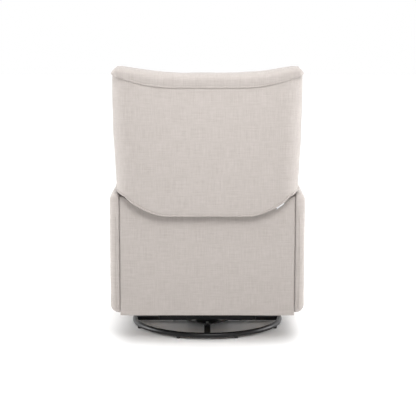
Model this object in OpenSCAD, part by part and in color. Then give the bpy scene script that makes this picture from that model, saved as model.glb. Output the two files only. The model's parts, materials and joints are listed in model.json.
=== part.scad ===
// Upholstered swivel glider recliner on a round tube base.
// Units are millimetres. The chair faces -Y, +Z is up, and the origin is on
// the floor under the swivel axis.

/* [Overall] */
// Node to draw, or "all" for the whole chair
// Total depth, front of the footrest to the back of the top seam
chair_depth = 860; // [780:5:940]
// Half of the width over the arms
arm_half_width = 354; // [320:1:380]
// Height of the arms' top above the floor
arm_top = 560; // [520:5:620]
// Height of the arms' lower edge above the floor
arm_bottom = 115; // [90:1:150]
// Height of the rear cover's hem above the floor
hem_height = 108; // [80:1:150]

/* [Round base] */
// Centre-line radius of the ring tube
ring_radius = 283; // [240:1:320]
// Outside diameter of the ring tube
ring_tube = 20; // [16:1:30]
// Wall of the ring tube
tube_wall = 1.5; // [1:0.1:3]
// Width of the flat spoke tubes
spoke_width = 23; // [18:1:40]
// Height of the flat spoke tubes
spoke_height = 16; // [12:1:25]
// Side of the square hub plate
hub_side = 230; // [140:1:250]
// Thickness of the hub plate
hub_thick = 4; // [3:0.5:6]
// Height of a floor glide below the ring
glide_height = 6; // [4:0.5:12]
// Number of floor glides
glide_count = 8; // [4:1:12]

/* [Swivel bearing] */
// Outside radius of the bearing races
race_radius = 72; // [60:1:90]
// Radius of the circle the balls run on
ball_circle = 55; // [45:1:65]
// Diameter of one ball
ball_size = 8; // [5:0.5:12]
// Number of balls
ball_count = 16; // [8:1:30]
// Radius of the king pin
king_radius = 6; // [5:0.5:10]

/* [Glide linkage] */
// Distance between the two eyes of a swing link
link_length = 110; // [80:1:140]
// Height of the upper link pivots
link_pivot_z = 235; // [200:1:260]
// Distance of the link pivots in front of and behind the swivel axis
link_pivot_y = 120; // [90:1:160]
// Thickness of the pressed steel plates
plate = 4; // [3:0.5:6]
// Radius of the link pins
pin_radius = 6; // [4:0.5:8]
// Inner face of the tower brackets
tower_x = 184; // [150:1:200]

/* [Seat frame] */
// Inner face of the steel mechanism rails
rail_x = 205; // [180:1:230]
// Inner face of the wooden side rails
side_rail_x = 246; // [230:1:260]
// Inner face of the plywood arm panels
panel_x = 262; // [250:1:280]
// Thickness of the plywood arm panels
panel_thick = 18; // [12:1:24]
// Inner padded face of the arms
arm_inner = 254; // [240:1:270]
// Top of the wooden seat frame
frame_top = 330; // [300:1:360]
// Underside of the wooden seat frame and steel rails
frame_low = 264; // [240:1:290]
// Top of the seat cushion
seat_top = 478; // [440:1:500]
// Front of the seat cushion
seat_front = -418; // [-440:1:-380]

/* [Reclining back] */
// Hinge of the back, distance behind the swivel axis
hinge_y = 260; // [220:1:300]
// Hinge of the back, height
hinge_z = 370; // [340:1:400]
// Lean of the back's frame from upright, in degrees
back_lean = 5; // [0:0.5:15]
// Half width of the outer back
back_half_width = 335; // [300:1:350]
// Height of the back, along its lean, up to the top seam
back_height = 474; // [420:1:520]
// Height of the split line between the rear cover and the back, at its middle
split_z = 477; // [460:1:490]
// Plan radius of the outer back's rear corners
back_corner = 65; // [40:1:110]

/* [Footrest] */
// Half width of the footrest
foot_half_width = 250; // [200:1:252]
// Lower edge of the footrest
foot_low = 118; // [100:1:150]
// Upper edge of the footrest
foot_high = 338; // [300:1:342]
// Rear face of the footrest board
foot_rear = -334; // [-350:1:-300]
// Thickness of the footrest board
foot_board_thick = 15; // [10:1:20]

/* [Hidden] */
$fn = 96;
gap = 0.2;
hole_gap = 0.05;
ring_r = ring_tube / 2;
ring_z = glide_height + ring_r;
spoke_low = ring_z - spoke_height / 2;
spoke_high = ring_z + spoke_height / 2;
hub_top = spoke_high + hub_thick;
hub_bolt_y = 130;
race_thick = 6;
ball_z = hub_top + race_thick + ball_size / 4;
upper_race_low = ball_z + ball_size / 4;
upper_race_top = upper_race_low + race_thick;
link_x = tower_x + plate + 4;
hanger_x = rail_x - plate;
low_pivot_z = link_pivot_z - link_length;
rail_top = 312;
rail_out = rail_x + plate;
foot_pivot = [-300, 285];
knee_pivot = [-296, 130];
board_pivot = [-318, 283];
thigh_x = rail_out + 4;
shin_x = thigh_x + 2 * plate;
bracket_x = shin_x + 2 * plate;
rear_face = 355;
rear_panel_front = 337;
rear_rail_y = 315;
rear_rail_top = 392;
shell_thick = 14;
// Distances behind the hinge at which the two edges of the split line stand
shell_reach = 124;
cover_reach = rear_face - hinge_y;
// Rise of the split line, by distance from the middle
SPLIT_RISE = [
  [150, 0], [180, 3], [200, 9], [220, 18],
  [240, 29], [260, 42], [280, 56], [300, 70]
];
// Largest radius of the arms' rear corners about the hinge
arm_clear = 203;
// Radius of the back's lower edge about the hinge, over the arms
side_clear = norm([shell_reach, split_z - hinge_z + SPLIT_RISE[len(SPLIT_RISE) - 1][1]]);
roll_centre = 500;
seam_proud = 2.5;
back_y0 = chair_depth / 2 - roll_centre * sin(back_lean) - seam_proud;
back_z0 = 470;
seam_flat = 150;
seam_radius = 312;
top_sag_radius = 1500;
middle_top = 987;
tip_top = 1012;
post_rear = -132;
post_front = -165;
rail_thick = 18;

// Colours
BLACK = [0.05, 0.05, 0.05];
STEEL = [0.62, 0.63, 0.65];
WOOD = [0.78, 0.64, 0.45];
FABRIC = [0.78, 0.74, 0.70];
PLASTIC = [0.12, 0.12, 0.13];
STRAP = [0.35, 0.33, 0.30];

// Draws a YZ outline as a slab between two X positions.
module slab_x(x0, x1) {
  translate([x0, 0, 0])
    rotate([90, 0, 90])
      linear_extrude(x1 - x0)
        children();
}

// Draws an XZ outline as a slab between two Y positions.
module slab_y(y0, y1) {
  translate([0, y1, 0])
    rotate([90, 0, 0])
      linear_extrude(y1 - y0)
        children();
}

// Draws a part on the right and its mirror image on the left.
module both_sides() {
  children();
  mirror([1, 0, 0])
    children();
}

// A rod along X between two X positions, at a YZ point.
module rod_x(x0, x1, r, at) {
  translate([x0, at[0], at[1]])
    rotate([0, 90, 0])
      cylinder(h = x1 - x0, r = r);
}

// A flat rectangle with round corners between two opposite points.
module round_rect(a, b, r) {
  translate([a[0] + r, a[1]])
    square([b[0] - a[0] - 2 * r, b[1] - a[1]]);
  translate([a[0], a[1] + r])
    square([b[0] - a[0], b[1] - a[1] - 2 * r]);
  for (x = [a[0] + r, b[0] - r]) {
    for (y = [a[1] + r, b[1] - r]) {
      translate([x, y])
        circle(r = r);
    }
  }
}

// A slightly waisted link outline with a round eye of radius r at each end.
module link_outline(a, b, r) {
  length = norm(b - a);
  turn = atan2(b[1] - a[1], b[0] - a[0]);
  translate(a)
    circle(r = r);
  translate(b)
    circle(r = r);
  translate(a)
    rotate(turn)
      translate([0, -0.85 * r])
        square([length, 1.7 * r]);
}

// Places a back part in the leaning frame of the back.
module back_space() {
  translate([0, back_y0, back_z0])
    rotate([-back_lean, 0, 0])
      children();
}

// Radius about the hinge of a point of the split line.
function split_radius(reach, rise) = norm([reach, split_z - hinge_z + rise]);

// The volume the back sweeps clear of, turned about its hinge. Its edge passes
// through the split line at a distance of reach behind the hinge.
module recline_drum(reach) {
  last = len(SPLIT_RISE) - 1;
  side = split_radius(reach, SPLIT_RISE[last][1]);
  translate([0, hinge_y, hinge_z])
    rotate([0, 90, 0])
      rotate_extrude()
        polygon(concat(
          [[0, -400], [side, -400]],
          [for (i = [last : -1 : 0]) [split_radius(reach, SPLIT_RISE[i][1]), -SPLIT_RISE[i][0]]],
          [for (i = [0 : last]) [split_radius(reach, SPLIT_RISE[i][1]), SPLIT_RISE[i][0]]],
          [[side, 400], [0, 400]]
        ));
}

// ---- Round base ----

// The bent tube ring that stands on the floor glides.
module base_ring() {
  color(BLACK)
    difference() {
      translate([0, 0, ring_z])
        rotate_extrude()
          translate([ring_radius, 0])
            difference() {
              circle(r = ring_r);
              circle(r = ring_r - tube_wall);
            }
      for (i = [0 : glide_count - 1]) {
        rotate(22.5 + i * 360 / glide_count)
          translate([ring_radius, 0, glide_height - 1])
            cylinder(h = 5, r = 2.5 + hole_gap);
      }
    }
}

// One spoke tube along X, from x0 to x1, fitted to the ring.
module spoke(x0, x1) {
  difference() {
    translate([x0, -spoke_width / 2, spoke_low])
      cube([x1 - x0, spoke_width, spoke_height]);
    translate([x0 - 1, -spoke_width / 2 + 2, spoke_low + 2])
      cube([x1 - x0 + 2, spoke_width - 4, spoke_height - 4]);
    translate([0, 0, ring_z])
      rotate_extrude()
        translate([ring_radius, 0])
          circle(r = ring_r);
    for (side = [-1, 1]) {
      translate([side * hub_bolt_y, 0, 0])
        cylinder(h = 40, r = 3 + hole_gap);
    }
    cylinder(h = 40, r = king_radius + hole_gap);
  }
}

// The fore-and-aft spoke tube and the two side spoke tubes.
module spoke_bars() {
  reach = ring_radius - 5;
  color(BLACK) {
    rotate(90)
      spoke(-reach, reach);
    spoke(spoke_width / 2 + gap, reach);
    spoke(-reach, -spoke_width / 2 - gap);
  }
}

// The square plate, set corner-first, that the bearing is fixed to.
module hub_plate() {
  color(BLACK)
    difference() {
      translate([0, 0, spoke_high])
        rotate(45)
          linear_extrude(hub_thick)
            round_rect([-hub_side / 2, -hub_side / 2], [hub_side / 2, hub_side / 2], 8);
      for (i = [0 : 3]) {
        rotate(i * 90)
          translate([hub_bolt_y, 0, 0])
            cylinder(h = 40, r = 3 + hole_gap);
      }
      cylinder(h = 40, r = king_radius + hole_gap);
    }
}

// Four screws through the hub plate and the spoke tubes.
module hub_bolts() {
  color(STEEL)
    for (i = [0 : 3]) {
      rotate(i * 90)
        translate([hub_bolt_y, 0, 0]) {
          translate([0, 0, spoke_low - 4.5])
            cylinder(h = hub_top - spoke_low + 4.5, r = 3);
          translate([0, 0, hub_top])
            cylinder(h = 3, r = 6);
        }
    }
}

// The nuts under the spoke tubes.
module hub_nuts() {
  color(STEEL)
    for (i = [0 : 3]) {
      rotate(i * 90)
        translate([hub_bolt_y, 0, spoke_low - 4])
          difference() {
            linear_extrude(4)
              circle(r = 5.8, $fn = 6);
            translate([0, 0, -1])
              cylinder(h = 6, r = 3 + hole_gap);
          }
    }
}

// Plastic feet pushed into the underside of the ring.
module floor_glides() {
  color(PLASTIC)
    for (i = [0 : glide_count - 1]) {
      rotate(22.5 + i * 360 / glide_count)
        translate([ring_radius, 0, 0]) {
          difference() {
            cylinder(h = glide_height + 2, r = 7);
            translate([-ring_radius, 0, ring_z])
              rotate_extrude()
                translate([ring_radius, 0])
                  circle(r = ring_r);
          }
          translate([0, 0, glide_height - 2])
            cylinder(h = 9, r = 2.5);
        }
    }
}

// ---- Swivel bearing ----

// A bearing race between two heights, with its ball groove.
module race(low, high) {
  difference() {
    translate([0, 0, low])
      cylinder(h = high - low, r = race_radius);
    translate([0, 0, low - 1])
      cylinder(h = high - low + 2, r = king_radius + 1);
    translate([0, 0, ball_z])
      rotate_extrude()
        translate([ball_circle, 0])
          circle(r = ball_size / 2 + gap);
  }
}

// The fixed race on the hub plate.
module lower_race() {
  color(STEEL)
    race(hub_top, ball_z - ball_size / 4);
}

// The turning race, drilled for the screws of the glider frame.
module upper_race() {
  color(STEEL)
    difference() {
      race(upper_race_low, upper_race_top);
      race_screw_holes();
    }
}

// Screw positions that join the turning race to the glider frame.
module race_screw_holes() {
  for (x = [-32, 32]) {
    for (y = [-20, 20]) {
      translate([x, y, upper_race_low - 1])
        cylinder(h = 30, r = 3 + hole_gap);
    }
  }
}

// The king pin that holds the two races together.
module king_pin() {
  color(STEEL) {
    translate([0, 0, spoke_low - 4])
      cylinder(h = 4, r = 10);
    translate([0, 0, spoke_low - 1])
      cylinder(h = 60 - spoke_low, r = king_radius);
  }
}

// The nut and washer on the king pin.
module king_nut() {
  color(STEEL)
    translate([0, 0, upper_race_top + plate + 0.5])
      difference() {
        union() {
          cylinder(h = 2, r = 13);
          translate([0, 0, 2])
            linear_extrude(6)
              circle(r = 11, $fn = 6);
        }
        translate([0, 0, -1])
          cylinder(h = 12, r = king_radius + hole_gap);
      }
}

// The balls between the races.
module bearing_balls() {
  color(STEEL)
    for (i = [0 : ball_count - 1]) {
      rotate(i * 360 / ball_count)
        translate([ball_circle, 0, ball_z])
          sphere(r = ball_size / 2);
    }
}

// The thin cage that keeps the balls apart.
module ball_cage() {
  color(PLASTIC)
    difference() {
      translate([0, 0, ball_z - 0.75])
        cylinder(h = 1.5, r = ball_circle + 8);
      translate([0, 0, ball_z - 2])
        cylinder(h = 4, r = ball_circle - 8);
      for (i = [0 : ball_count - 1]) {
        rotate(i * 360 / ball_count)
          translate([ball_circle, 0, ball_z - 2])
            cylinder(h = 4, r = ball_size / 2 + 0.1);
      }
    }
}

// ---- Glider frame ----

// The pressed steel plate and two cross channels of the glider frame.
module cross_members() {
  low = upper_race_top;
  color(BLACK)
    difference() {
      union() {
        translate([-60, -link_pivot_y, low])
          cube([120, 2 * link_pivot_y, plate]);
        for (side = [-1, 1]) {
          translate([-tower_x, side * link_pivot_y - 22, low])
            cube([2 * tower_x, 44, plate]);
          for (edge = [-22, 18]) {
            translate([-tower_x, side * link_pivot_y + edge, low + plate])
              cube([2 * tower_x, plate, 14]);
          }
        }
      }
      translate([0, 0, low - 1])
        cylinder(h = 10, r = king_radius + 1);
      race_screw_holes();
    }
}

// The upright side brackets that the swing links hang from.
module tower_brackets() {
  color(BLACK)
    both_sides()
      slab_x(tower_x, tower_x + plate)
        difference() {
          union() {
            translate([-link_pivot_y - 40, upper_race_top])
              square([2 * link_pivot_y + 80, 26]);
            for (side = [-1, 1]) {
              polygon([
                [side * link_pivot_y - 38, upper_race_top + 20],
                [side * link_pivot_y + 38, upper_race_top + 20],
                [side * link_pivot_y + 14, link_pivot_z],
                [side * link_pivot_y - 14, link_pivot_z]
              ]);
              translate([side * link_pivot_y, link_pivot_z])
                circle(r = 14);
            }
          }
          for (side = [-1, 1]) {
            translate([side * link_pivot_y, link_pivot_z])
              circle(r = pin_radius + hole_gap);
          }
        }
}

// Screws through the glider frame into the turning race.
module race_bolts() {
  color(STEEL)
    for (x = [-32, 32]) {
      for (y = [-20, 20]) {
        translate([x, y, upper_race_low + 0.5])
          cylinder(h = upper_race_top + plate - upper_race_low - 0.5, r = 3);
        translate([x, y, upper_race_top + plate])
          cylinder(h = 3, r = 5.5);
      }
    }
}

// A headed pin along X with its heads outside x0 and x1.
module headed_pin(x0, x1, at) {
  rod_x(x0, x1, pin_radius, at);
  rod_x(x0 - 2.5, x0, pin_radius + 2.5, at);
  rod_x(x1, x1 + 2.5, pin_radius + 2.5, at);
}

// The four pins at the top of the swing links.
module upper_pins() {
  color(STEEL)
    both_sides()
      for (side = [-1, 1]) {
        headed_pin(tower_x, link_x + plate + 1, [side * link_pivot_y, link_pivot_z]);
      }
}

// One left and right pair of swing links at a fore-and-aft position.
module swing_pair(y) {
  both_sides()
    slab_x(link_x, link_x + plate)
      difference() {
        link_outline([y, low_pivot_z], [y, link_pivot_z], 15);
        for (z = [low_pivot_z, link_pivot_z]) {
          translate([y, z])
            circle(r = pin_radius + 3);
        }
      }
}

// The plastic bushings in one pair of swing links.
module bushing_pair(y) {
  both_sides()
    for (z = [low_pivot_z, link_pivot_z]) {
      difference() {
        rod_x(link_x - 0.5, link_x + plate + 0.5, pin_radius + 3 - gap / 4, [y, z]);
        rod_x(link_x - 1, link_x + plate + 1, pin_radius + hole_gap, [y, z]);
      }
    }
}

// The front swing links.
module front_links() {
  color(BLACK)
    swing_pair(-link_pivot_y);
}

// The bushings of the front swing links.
module front_bushings() {
  color(PLASTIC)
    bushing_pair(-link_pivot_y);
}

// The rear swing links.
module rear_links() {
  color(BLACK)
    swing_pair(link_pivot_y);
}

// The bushings of the rear swing links.
module rear_bushings() {
  color(PLASTIC)
    bushing_pair(link_pivot_y);
}

// ---- Seat frame ----

// Positions of the bolts that hold the arms.
ARM_BOLTS = [[-20, 290], [180, 290]];

// The steel side rails with the footrest pivot and the back hinge.
module mechanism_rails() {
  color(STEEL)
    both_sides()
      slab_x(rail_x, rail_out)
        difference() {
          union() {
            translate([-322, frame_low])
              square([612, rail_top - frame_low]);
            polygon([
              [hinge_y - 45, rail_top - 10], [hinge_y + 30, rail_top - 10],
              [hinge_y + 18, hinge_z], [hinge_y - 18, hinge_z]
            ]);
            translate([hinge_y, hinge_z])
              circle(r = 18);
          }
          translate(foot_pivot)
            circle(r = pin_radius + hole_gap);
          translate([hinge_y, hinge_z])
            circle(r = pin_radius + hole_gap);
          for (side = [-1, 1]) {
            for (step = [-14, 14]) {
              translate([side * link_pivot_y + step, 296])
                circle(r = 4 + hole_gap);
            }
          }
          for (at = ARM_BOLTS) {
            translate(at)
              circle(r = 4 + hole_gap);
          }
        }
}

// The four plates that the swing links carry the chair by.
module hanger_plates() {
  color(STEEL)
    both_sides()
      for (side = [-1, 1]) {
        slab_x(hanger_x, rail_x)
          difference() {
            union() {
              polygon([
                [side * link_pivot_y - 26, rail_top], [side * link_pivot_y - 26, 262],
                [side * link_pivot_y - 15, low_pivot_z], [side * link_pivot_y + 15, low_pivot_z],
                [side * link_pivot_y + 26, 262], [side * link_pivot_y + 26, rail_top]
              ]);
              translate([side * link_pivot_y, low_pivot_z])
                circle(r = 15);
            }
            translate([side * link_pivot_y, low_pivot_z])
              circle(r = pin_radius + hole_gap);
            for (step = [-14, 14]) {
              translate([side * link_pivot_y + step, 296])
                circle(r = 4 + hole_gap);
            }
          }
      }
}

// Bolts that join the hanger plates to the steel rails.
module hanger_bolts() {
  color(STEEL)
    both_sides()
      for (side = [-1, 1]) {
        for (step = [-14, 14]) {
          at = [side * link_pivot_y + step, 296];
          rod_x(hanger_x, rail_out, 4, at);
          rod_x(hanger_x - 4, hanger_x, 7, at);
          rod_x(rail_out, rail_out + 3, 6.5, at);
        }
      }
}

// The four pins at the bottom of the swing links.
module lower_pins() {
  color(STEEL)
    both_sides()
      for (side = [-1, 1]) {
        headed_pin(link_x - 0.8, rail_x, [side * link_pivot_y, low_pivot_z]);
      }
}

// Square tubes that tie the two sides of the mechanism together.
module cross_tubes() {
  color(BLACK)
    for (side = [-1, 1]) {
      difference() {
        translate([-hanger_x, side * link_pivot_y - 10, 258])
          cube([2 * hanger_x, 20, 20]);
        translate([-hanger_x - 1, side * link_pivot_y - 8, 260])
          cube([2 * hanger_x + 2, 16, 16]);
      }
    }
}

// The wooden front and rear rails of the seat.
module seat_end_rails() {
  color(WOOD)
    for (y = [-328, 206]) {
      translate([-rail_x, y, frame_low])
        cube([2 * rail_x, 18, frame_top - frame_low]);
    }
}

// The wooden side rails of the seat, bolted to the arms.
module seat_side_rails() {
  color(WOOD)
    both_sides()
      slab_x(side_rail_x, panel_x)
        difference() {
          translate([-328, frame_low])
            square([554, frame_top - frame_low]);
          for (at = ARM_BOLTS) {
            translate(at)
              circle(r = 4 + hole_gap);
          }
        }
}

// Tube spacers between the steel rails and the wooden side rails.
module rail_spacers() {
  color(STEEL)
    both_sides()
      for (at = ARM_BOLTS) {
        difference() {
          rod_x(rail_out, side_rail_x, 8, at);
          rod_x(rail_out - 1, side_rail_x + 1, 4 + hole_gap, at);
        }
      }
}

// Bolts through rail, spacer and side rail into the arm panels.
module arm_bolts() {
  color(STEEL)
    both_sides()
      for (at = ARM_BOLTS) {
        rod_x(rail_x, panel_x + 14, 4, at);
        rod_x(rail_x - 4, rail_x, 7, at);
      }
}

// The plywood panels inside the arms.
module arm_panels() {
  color(WOOD)
    both_sides()
      difference() {
        slab_x(panel_x, panel_x + panel_thick)
          round_rect([-384, 130], [333, 514], 30);
        for (at = ARM_BOLTS) {
          rod_x(panel_x - 1, panel_x + 15, 4 + hole_gap, at);
        }
      }
}

// One padded arm, on the right.
module arm() {
  difference() {
    intersection() {
      slab_y(-400, rear_face)
        union() {
          round_rect([arm_inner, arm_bottom], [arm_half_width, arm_top], 28);
          translate([arm_inner, arm_bottom])
            square([30, 200]);
        }
      slab_x(0, 400)
        union() {
          round_rect([-400, arm_bottom - 1], [200, arm_top + 1], 40);
          translate([-300, arm_bottom - 1])
            square([rear_face + 300, 320]);
          intersection() {
            translate([-300, arm_bottom])
              square([rear_face + 300, arm_top]);
            union() {
              translate([hinge_y, hinge_z])
                circle(r = arm_clear);
              translate([-300, arm_bottom])
                square([hinge_y + 300, arm_top]);
            }
          }
        }
    }
    translate([arm_inner - 1, -384 - gap, 0])
      cube([panel_x + 1 - arm_inner, 800, 345]);
    translate([arm_inner - 1, rear_rail_y - gap, 0])
      cube([panel_x + 1 - arm_inner, 60, rear_rail_top + gap]);
    translate([panel_x, -384 - gap, 0])
      cube([panel_thick + gap, 800, 514 + gap]);
    translate([arm_inner - 1, rear_panel_front - 3, 0])
      cube([66, 60, 700]);
  }
}

// The padded arm on the sitter's left.
module arm_left() {
  color(FABRIC)
    arm();
}

// The padded arm on the sitter's right.
module arm_right() {
  color(FABRIC)
    mirror([1, 0, 0])
      arm();
}

// Elastic straps stretched over the seat frame.
module seat_webbing() {
  color(STRAP) {
    for (x = [-150 : 75 : 150]) {
      translate([x - 25, -328, frame_top])
        cube([50, 554, 1.5]);
    }
    for (y = [-240 : 100 : 160]) {
      translate([-panel_x + 2, y - 25, frame_top + 1.5])
        cube([2 * panel_x - 4, 50, 1.5]);
    }
  }
}

// The thin pad between the straps and the seat cushion.
module seat_deck() {
  color(FABRIC)
    translate([-244, -326, frame_top + 3.5])
      cube([488, 530, 15]);
}

// The seat cushion.
module seat_cushion() {
  color(FABRIC)
    intersection() {
      slab_x(-252, 252)
        round_rect([seat_front, frame_top + 20], [190, seat_top], 36);
      translate([0, 0, frame_top])
        linear_extrude(200)
          round_rect([-251, seat_front - 1], [251, 191], 30);
    }
}

// Wooden rails behind the seat that the rear cover is fixed to.
module rear_frame_rails() {
  color(WOOD)
    for (z = [130, rear_rail_top - 40]) {
      translate([-panel_x, rear_rail_y, z])
        cube([2 * panel_x, 18, 40]);
    }
}

// The upholstered rear cover under the reclining back.
module rear_panel() {
  color(FABRIC)
    union() {
      translate([-317, rear_panel_front, hem_height])
        cube([634, rear_face - rear_panel_front, 280]);
      intersection() {
        translate([-317, rear_panel_front, hem_height])
          cube([634, rear_face - rear_panel_front, 460]);
        recline_drum(cover_reach);
      }
    }
}

// The pins of the footrest linkage on the steel rails.
module footrest_pivot_pins() {
  color(STEEL)
    both_sides()
      headed_pin(rail_x, thigh_x + plate + 0.5, foot_pivot);
}

// The hinge pins of the back.
module back_hinge_pins() {
  color(STEEL)
    both_sides()
      headed_pin(rail_x, thigh_x + plate + 0.5, [hinge_y, hinge_z]);
}

// ---- Reclining back ----

// The steel brackets between the hinge and the back posts.
module back_brackets() {
  color(STEEL)
    both_sides()
      slab_x(thigh_x, thigh_x + plate)
        difference() {
          union() {
            translate([hinge_y, hinge_z])
              circle(r = 15);
            polygon([
              [hinge_y - 15, hinge_z], [hinge_y + 2, hinge_z], [hinge_y - 20, 530],
              [hinge_y + 8, 680], [hinge_y - 18, 680], [hinge_y - 36, 530]
            ]);
          }
          translate([hinge_y, hinge_z])
            circle(r = pin_radius + hole_gap);
          for (at = BRACKET_SCREWS) {
            translate(at)
              circle(r = 3 + hole_gap);
          }
        }
}

// Positions of the screws through the back brackets.
BRACKET_SCREWS = [[237, 560], [243, 610], [252, 660]];

// Screws that hold the brackets to the back posts.
module bracket_screws() {
  color(STEEL)
    both_sides()
      for (at = BRACKET_SCREWS) {
        rod_x(thigh_x - 14, thigh_x + plate, 3, at);
        rod_x(thigh_x + plate, thigh_x + plate + 2.5, 6, at);
      }
}

// The two wooden posts of the back.
module back_posts() {
  color(WOOD)
    both_sides()
      difference() {
        back_space()
          translate([thigh_x - 24, post_front, 60])
            cube([24, post_rear - post_front, back_height - 70]);
        for (at = BRACKET_SCREWS) {
          rod_x(thigh_x - 15, thigh_x + 1, 3 + hole_gap, at);
        }
      }
}

// The wooden cross rails of the back.
module back_rails() {
  color(WOOD)
    back_space()
      for (rail = [[72, 248], [250, 300], [420, 300]]) {
        translate([-rail[1], post_rear, rail[0]])
          cube([2 * rail[1], rail_thick, 42]);
      }
}

// Elastic straps across the front of the back posts.
module back_webbing() {
  color(STRAP)
    back_space()
      for (z = [80 : 80 : 400]) {
        translate([-thigh_x, post_front - 1.5, z])
          cube([2 * thigh_x, 1.5, 50]);
      }
}

// One steel tongue, bent from strip and screwed to the lowest back rail. Its
// free end stands low above the split line.
module lock_tab(low) {
  foot = post_rear + rail_thick;
  back_space() {
    slab_y(-30, -28)
      polygon([[250, low], [276, low + 20], [276, 98], [250, 98]]);
    translate([222, foot, 96])
      cube([54, -28 - foot, 2]);
    translate([222, foot, 80])
      cube([26, 2, 18]);
  }
}

// Steel tongues that lock the lift-off back onto its brackets. The one on the
// sitter's right hangs lower and shows in the split line.
module back_lock_tabs() {
  color(STEEL) {
    lock_tab(40);
    mirror([1, 0, 0])
      lock_tab(28);
  }
}

// The area above the top seam, seen from behind, in the leaning frame.
// The seam is straight in the middle and rises in an arc towards each side.
module above_seam(height) {
  translate([-seam_flat, height])
    square([2 * seam_flat, 2 * seam_radius]);
  for (side = [-1, 1]) {
    translate([side * seam_flat, height + seam_radius])
      circle(r = seam_radius);
  }
}

// The outer shell of the back, with its sides curving forward.
module outer_back() {
  color(FABRIC)
    difference() {
      back_space()
        difference() {
          translate([0, 0, -60])
            linear_extrude(back_height + 120)
              difference() {
                round_rect([-back_half_width, -300], [back_half_width, 0], back_corner);
                round_rect(
                  [-back_half_width + shell_thick, -310],
                  [back_half_width - shell_thick, -shell_thick], back_corner - shell_thick
                );
                translate([-400, -400])
                  square([800, 400 + post_rear]);
              }
          slab_y(-400, 100)
            above_seam(back_height - 1);
        }
      recline_drum(shell_reach);
      translate([-400, 0, 0])
        cube([800, hinge_y, hinge_z + side_clear]);
    }
}

// The padded front of the back.
module back_cushion() {
  color(FABRIC)
    intersection() {
      slab_x(-247, 247)
        polygon([
          [124, 506], [146, 486], [240, 486], [290, 960],
          [222, 960], [190, 870], [144, 620]
        ]);
      back_space()
        translate([-300, -400, -60])
          cube([600, 400 + post_front - 2.5, back_height + 58]);
    }
}

// One side wing of the back, on the right.
module wing() {
  difference() {
    intersection() {
      back_space()
        difference() {
          translate([249.5, -240, -60])
            cube([back_half_width - 249.5, 240 + post_rear - 1, back_height + 120]);
          slab_y(-400, 100)
            above_seam(back_height - 1);
        }
      slab_x(0, 400)
        round_rect([165, 577], [400, 1100], 40);
    }
    recline_drum(shell_reach);
  }
}

// The wing on the sitter's left.
module wing_left() {
  color(FABRIC)
    wing();
}

// The wing on the sitter's right.
module wing_right() {
  color(FABRIC)
    mirror([1, 0, 0])
      wing();
}

// The rolled top of the front cover, above the seam.
module top_roll() {
  color(FABRIC)
    intersection() {
      slab_y(100, 500)
        difference() {
          round_rect([-back_half_width - 3, 800], [back_half_width + 3, tip_top], 20);
          translate([0, middle_top + top_sag_radius])
            circle(r = top_sag_radius, $fn = 720);
        }
      back_space()
        intersection() {
          slab_x(-400, 400)
            round_rect([-235, 300], [seam_proud, roll_centre + 42], 42);
          slab_y(-300, 100)
            above_seam(back_height);
        }
    }
}

// ---- Footrest ----

// The first links of the footrest, on the steel rails.
module thigh_links() {
  color(STEEL)
    both_sides()
      slab_x(thigh_x, thigh_x + plate)
        difference() {
          link_outline(foot_pivot, knee_pivot, 12);
          translate(foot_pivot)
            circle(r = pin_radius + hole_gap);
          translate(knee_pivot)
            circle(r = pin_radius + hole_gap);
        }
}

// The knee pins between the first and second links.
module knee_pins() {
  color(STEEL)
    both_sides()
      headed_pin(thigh_x, shin_x + plate + 0.5, knee_pivot);
}

// The second links of the footrest.
module shin_links() {
  color(STEEL)
    both_sides()
      slab_x(shin_x, shin_x + plate)
        difference() {
          link_outline(knee_pivot, board_pivot, 12);
          translate(knee_pivot)
            circle(r = pin_radius + hole_gap);
          translate(board_pivot)
            circle(r = pin_radius + hole_gap);
        }
}

// The steel brackets behind the footrest board.
module footrest_brackets() {
  color(STEEL)
    both_sides()
      difference() {
        union() {
          slab_x(bracket_x, bracket_x + plate) {
            translate(board_pivot)
              circle(r = 12);
            translate([foot_rear, board_pivot[1] - 45])
              square([14, 70]);
          }
          translate([bracket_x, foot_rear, board_pivot[1] - 45])
            cube([12, 3, 70]);
        }
        rod_x(bracket_x - 1, bracket_x + plate + 1, pin_radius + hole_gap, board_pivot);
      }
}

// The pins between the second links and the board brackets.
module footrest_pins() {
  color(STEEL)
    both_sides()
      headed_pin(shin_x - 0.5, bracket_x + plate, board_pivot);
}

// The plywood board of the footrest.
module footrest_board() {
  color(WOOD)
    slab_y(foot_rear - foot_board_thick, foot_rear)
      round_rect([4 - foot_half_width, foot_low + 4], [foot_half_width - 4, foot_high], 10);
}

// The padded front of the footrest.
module footrest_pad() {
  color(FABRIC)
    intersection() {
      slab_x(-foot_half_width, foot_half_width) {
        round_rect([-chair_depth / 2, foot_low], [-360, foot_high], 30);
        translate([-400, foot_low])
          square([400 + foot_rear - foot_board_thick - 0.3, foot_high - foot_low]);
      }
      slab_y(-chair_depth / 2, 0)
        round_rect([-foot_half_width, foot_low - 1], [foot_half_width, foot_high + 1], 24);
    }
}

base_ring();
spoke_bars();
hub_plate();
hub_bolts();
hub_nuts();
floor_glides();
lower_race();
king_pin();
king_nut();
bearing_balls();
ball_cage();
upper_race();
cross_members();
tower_brackets();
race_bolts();
upper_pins();
front_links();
front_bushings();
rear_links();
rear_bushings();
mechanism_rails();
hanger_plates();
hanger_bolts();
lower_pins();
cross_tubes();
seat_end_rails();
seat_side_rails();
rail_spacers();
arm_bolts();
arm_panels();
arm_left();
arm_right();
seat_webbing();
seat_deck();
seat_cushion();
rear_frame_rails();
rear_panel();
footrest_pivot_pins();
back_hinge_pins();
back_brackets();
bracket_screws();
back_posts();
back_rails();
back_webbing();
back_lock_tabs();
back_cushion();
wing_left();
wing_right();
top_roll();
outer_back();
thigh_links();
knee_pins();
shin_links();
footrest_brackets();
footrest_pins();
footrest_board();
footrest_pad();
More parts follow.
